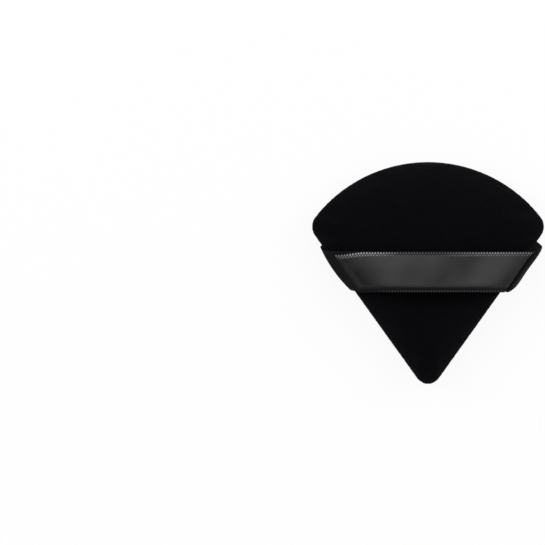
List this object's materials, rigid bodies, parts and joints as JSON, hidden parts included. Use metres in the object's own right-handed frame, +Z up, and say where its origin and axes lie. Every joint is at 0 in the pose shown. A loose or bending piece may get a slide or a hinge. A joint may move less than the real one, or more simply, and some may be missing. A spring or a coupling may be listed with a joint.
{
  "type": "powder puff",
  "caption": "Wedge-shaped velour powder puff with a rounded edge, a soft padded core and a satin ribbon across the front for the fingers to slip under.",
  "frame": {"origin": "on the surface that the puff lies on, under the middle of its outline", "axes": "+Z up out of the ribbon side, +Y from the tip towards the round edge, +X to the right along the ribbon"},
  "size_m": [0.0722, 0.0692, 0.0186],
  "materials": {
    "velour": "matte black velour with a short dense pile",
    "satin": "charcoal satin ribbon with woven edges",
    "foam": "open-cell foam, hidden by the covers",
    "thread": "black sewing thread"
  },
  "bodies": {
    "puff": {"front_cover": "velour", "back_cover": "velour", "foam_core": "foam", "seam_thread": "thread", "closing_thread": "thread", "ribbon_end_left": "satin", "ribbon_end_right": "satin"},
    "ribbon": {"ribbon_span": "satin"}
  },
  "joints": [
    {"name": "ribbon_lift", "type": "slide", "parent": "puff", "child": "ribbon", "axis": [0, 0, 1], "range_m": [0, 0.005], "stiffness_N_per_m": 10, "deforming": ["ribbon_end_left", "ribbon_end_right"]}
  ]
}
